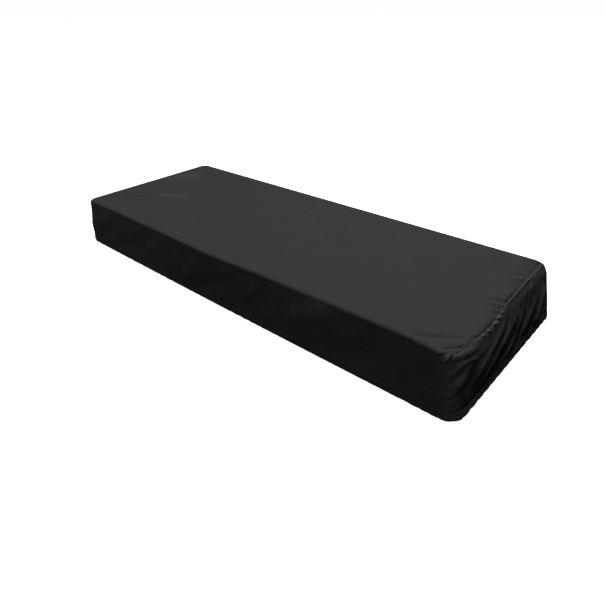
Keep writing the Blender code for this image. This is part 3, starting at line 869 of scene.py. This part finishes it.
def hem_stitches(name):
    """Every stitch of the casing's seam, round the whole cover, each a six-sided spindle of thread."""
    centres, ahead, out = [], [], []
    depth = DROP - HEM_HEIGHT
    runs = [
        (main_surface, depth + FRONT_EDGE, LENGTH, 1),
        (main_surface, HEM_HEIGHT, LENGTH, 1),
        (right_surface, depth, WIDTH, 1),
        (left_surface, depth, WIDTH, -1),
    ]
    for surface, u, run, facing in runs:
        count = int((run - 0.004) / STITCH_PITCH)
        v = (np.arange(count) - (count - 1) / 2) * STITCH_PITCH
        u = np.full(count, u)
        centres.append(surface(u, v))
        ahead.append(surface(u, v + 1e-4) - surface(u, v - 1e-4))
        out.append(facing * normals(surface, u, v))
    centres, ahead, out = (np.concatenate(value) for value in (centres, ahead, out))
    ahead = ahead / np.linalg.norm(ahead, axis=-1, keepdims=True)
    across = np.cross(out, ahead)
    sides = 6
    angle = np.arange(sides) * 2 * np.pi / sides
    rings = [(-0.5, 0.35), (-0.28, 1.0), (0.28, 1.0), (0.5, 0.35)]
    shape = []
    for place, girth in rings:
        radius = THREAD / 2 * girth
        shape.append(
            centres[:, None]
            + ahead[:, None] * place * STITCH_LENGTH
            + across[:, None] * (radius * np.cos(angle))[None, :, None]
            + out[:, None] * (radius * np.sin(angle) + THREAD * 0.15)[None, :, None]
        )
    points = np.stack(shape, axis=1)
    number = np.arange(points.shape[0] * len(rings) * sides).reshape(points.shape[0], len(rings), sides)
    turned = np.roll(number, -1, axis=2)
    walls = np.stack([number[:, :-1], turned[:, :-1], turned[:, 1:], number[:, 1:]], axis=-1)
    return mesh_object(name, points, [walls.reshape(-1, 4), number[:, 0, ::-1], number[:, -1]])


# ---------------------------------------------------------------------------- finishes


def to_linear(colour):
    """An sRGB hex colour as linear red, green, blue and an alpha of 1."""
    parts = [int(colour[place : place + 2], 16) / 255 for place in (1, 3, 5)]
    return [part / 12.92 if part <= 0.04045 else ((part + 0.055) / 1.055) ** 2.4 for part in parts] + [1.0]


def add_node(tree, kind, settings=(), inputs=()):
    """Adds a node, with its settings and with each input set to a value or linked to a socket."""
    node = tree.nodes.new("ShaderNode" + kind)
    for name, value in dict(settings).items():
        setattr(node, name, value)
    for name, value in dict(inputs).items():
        if isinstance(value, bpy.types.NodeSocket):
            tree.links.new(value, node.inputs[name])
        else:
            node.inputs[name].default_value = value
    return node


def new_material(name):
    """An empty material with its output, and the tree to fill."""
    material = bpy.data.materials.new(name)
    material.use_nodes = True
    material.node_tree.nodes.clear()
    return material, material.node_tree


def coated_polyester():
    """Black plain-woven polyester with a thin polyurethane coating.

    The coating leaves it matt and holds the rumples and the fine creases of folding. Where
    `wear_and_painted_highlight`
    rises to 1 it is painted a paler grey: worn coating in part, and in part painted highlight on the crests
    of folds, creases and puckers, on the right seam's beaded roll and on the front right corner. The real
    threads are about 0.4 mm apart. They are drawn
    1.2 mm apart, so that they show in close views.
    """
    material, tree = new_material("coated_polyester_cloth")
    threads = math.pi / WEAVE
    flat = add_node(tree, "UVMap", {"uv_map": "cloth"}).outputs["UV"]
    wave = add_node(tree, "VectorMath", {"operation": "SCALE"}, {0: flat, "Scale": threads}).outputs[0]
    wave = add_node(tree, "VectorMath", {"operation": "SINE"}, {0: wave}).outputs[0]
    split = add_node(tree, "SeparateXYZ", (), {0: wave})
    weave = add_node(
        tree, "Math", {"operation": "MULTIPLY"}, {0: split.outputs["X"], 1: split.outputs["Y"]}
    ).outputs[0]
    place = add_node(tree, "TexCoord").outputs["Object"]
    noises = [(MOTTLE, 3.0, 0.55), (CRUMPLE, 4.0, 0.6), (RUMPLE, 2.5, 0.5)]  # size, detail, roughness
    mottle, crumple, rumple = (
        add_node(
            tree, "TexNoise", (), {"Vector": place, "Scale": 1 / size, "Detail": fine, "Roughness": rough}
        )
        for size, fine, rough in noises
    )
    colour = add_node(
        tree,
        "Mix",
        {"data_type": "RGBA"},
        {0: mottle.outputs["Fac"], 6: to_linear("#333334"), 7: to_linear("#363637")},
    ).outputs[2]
    # The paler grey #515152 is painted highlight on crests, beads and the front right corner, and worn
    # coating in part.
    wear_and_painted_highlight = add_node(tree, "Attribute", {"attribute_name": "wear_and_painted_highlight"}).outputs["Fac"]
    colour = add_node(
        tree, "Mix", {"data_type": "RGBA"}, {0: wear_and_painted_highlight, 6: colour, 7: to_linear("#515152")}
    ).outputs[2]
    roughness = add_node(
        tree, "MapRange", (), {"Value": crumple.outputs["Fac"], "To Min": 0.76, "To Max": 0.86}
    ).outputs["Result"]
    bump = add_node(
        tree, "Bump", (), {"Height": rumple.outputs["Fac"], "Strength": 1.0, "Distance": 0.0036}
    ).outputs["Normal"]
    bump = add_node(
        tree,
        "Bump",
        (),
        {"Height": crumple.outputs["Fac"], "Strength": 0.6, "Distance": 0.0007, "Normal": bump},
    ).outputs["Normal"]
    bump = add_node(
        tree, "Bump", (), {"Height": weave, "Strength": 0.5, "Distance": 0.00008, "Normal": bump}
    ).outputs["Normal"]
    shader = add_node(
        tree,
        "BsdfPrincipled",
        (),
        {
            "Base Color": colour,
            "Roughness": roughness,
            "Normal": bump,
            "Metallic": 0.0,
            "IOR": 1.5,
            "Specular IOR Level": 0.08,
        },
    )
    add_node(tree, "OutputMaterial", (), {"Surface": shader.outputs["BSDF"]})
    return material


def sewing_thread():
    """Black bonded polyester sewing thread.

    It is a little smoother than the cloth, and unevenly dark from its twist.
    """
    material, tree = new_material("bonded_polyester_thread")
    place = add_node(tree, "TexCoord").outputs["Object"]
    twist = add_node(tree, "TexNoise", (), {"Vector": place, "Scale": 1 / TWIST, "Detail": 2.0})
    colour = add_node(
        tree,
        "Mix",
        {"data_type": "RGBA"},
        {0: twist.outputs["Fac"], 6: to_linear("#1a1a1b"), 7: to_linear("#28282a")},
    ).outputs[2]
    bump = add_node(
        tree, "Bump", (), {"Height": twist.outputs["Fac"], "Strength": 0.4, "Distance": 0.0001}
    ).outputs["Normal"]
    shader = add_node(
        tree,
        "BsdfPrincipled",
        (),
        {"Base Color": colour, "Roughness": 0.6, "Normal": bump, "Specular IOR Level": 0.2},
    )
    add_node(tree, "OutputMaterial", (), {"Surface": shader.outputs["BSDF"]})
    return material


# ---------------------------------------------------------------------------- room


def studio_floor():
    """A pale disc that sweeps up into a wall all round, far outside the view."""
    turn = np.linspace(0, 2 * np.pi, FLOOR_SIDES + 1)[:-1]
    reach, rise = np.array(FLOOR_REACH)[:, None], np.array(FLOOR_RISE)[:, None]
    points = np.stack([reach * np.cos(turn), reach * np.sin(turn), FLOOR_Z + rise + 0 * turn], axis=-1)
    number = np.arange(points.shape[0] * points.shape[1]).reshape(points.shape[:2])
    after = np.roll(number, -1, axis=1)
    sweep = np.stack([number[:-1], number[1:], after[1:], after[:-1]], axis=-1).reshape(-1, 4)
    floor = mesh_object("floor", points, [sweep, number[:1]])
    material, tree = new_material("white_studio_paper")
    shader = add_node(
        tree,
        "BsdfPrincipled",
        (),
        {
            "Base Color": to_linear("#f6f6f6"),
            "Roughness": 0.9,
            "Emission Color": to_linear("#ffffff"),
            "Emission Strength": 0.97,
        },
    )
    add_node(tree, "OutputMaterial", (), {"Surface": shader.outputs["BSDF"]})
    floor.data.materials.append(material)
    floor.visible_diffuse = False
    floor.visible_glossy = False
    floor.visible_shadow = False


def softbox(name, place, aim, watts):
    """A square area light that faces a point."""
    light = bpy.data.lights.new(name, "AREA")
    light.shape, light.size, light.energy = "SQUARE", SOFTBOX_SIZE, watts
    lamp = bpy.data.objects.new(name, light)
    back = (np.array(place) - np.array(aim)) / np.linalg.norm(np.array(place) - np.array(aim))
    side = np.cross((0, 0, 1) if abs(back[2]) < 0.99 else (0, 1, 0), back)
    side = side / np.linalg.norm(side)
    turn = Matrix(np.stack([side, np.cross(back, side), back], axis=-1).tolist()).to_4x4()
    lamp.matrix_world = Matrix.Translation(place) @ turn
    bpy.context.scene.collection.objects.link(lamp)


def room():
    """A plain pale floor, two soft lights overhead, three weak fills, and the camera."""
    scene = bpy.context.scene
    scene.view_settings.view_transform = "Standard"
    studio_floor()
    world = bpy.data.worlds.new("studio")
    world.use_nodes = True
    world.node_tree.nodes["Background"].inputs["Color"].default_value = to_linear("#ffffff")
    world.node_tree.nodes["Background"].inputs["Strength"].default_value = WORLD_LIGHT
    scene.world = world
    for row in SOFTBOXES:
        softbox(*row)

    # The camera stands off the front right corner. Its turn is about Z from +Y, its pitch is downwards.
    turn, pitch, roll = (math.radians(angle) for angle in (CAMERA_TURN, CAMERA_PITCH, CAMERA_ROLL))
    ahead = np.array([math.sin(turn) * math.cos(pitch), math.cos(turn) * math.cos(pitch), -math.sin(pitch)])
    level = np.array([math.cos(turn), -math.sin(turn), 0.0])
    right = level * math.cos(roll) + np.cross(level, ahead) * math.sin(roll)
    axes = np.stack([right, np.cross(right, ahead), -ahead], axis=-1)
    view = bpy.data.cameras.new("camera")
    view.sensor_width, view.lens, view.shift_y = CAMERA_SENSOR, CAMERA_LENS, CAMERA_SHIFT
    view.clip_end = 200.0
    camera = bpy.data.objects.new("camera", view)
    camera.matrix_world = Matrix.Translation(CAMERA_PLACE) @ Matrix(axes.tolist()).to_4x4()
    scene.collection.objects.link(camera)
    scene.camera = camera


# ---------------------------------------------------------------------------- putting it together

cloth_finish = coated_polyester()
long_cloth = main_panel("main_panel_cloth")
right_cloth = end_panel("right_end_cloth", right_bare, right_surface)
left_cloth = end_panel("left_end_cloth", left_bare, left_surface, turned=True)
stitches = hem_stitches("hem_stitches")
stitches.data.materials.append(sewing_thread())

for cloth, node in (
    (long_cloth, "main_panel"),
    (right_cloth, "right_end_panel"),
    (left_cloth, "left_end_panel"),
):
    cloth.data.materials.append(cloth_finish)
    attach(cloth, "root")
    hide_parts(node)
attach(stitches, "root")

room()
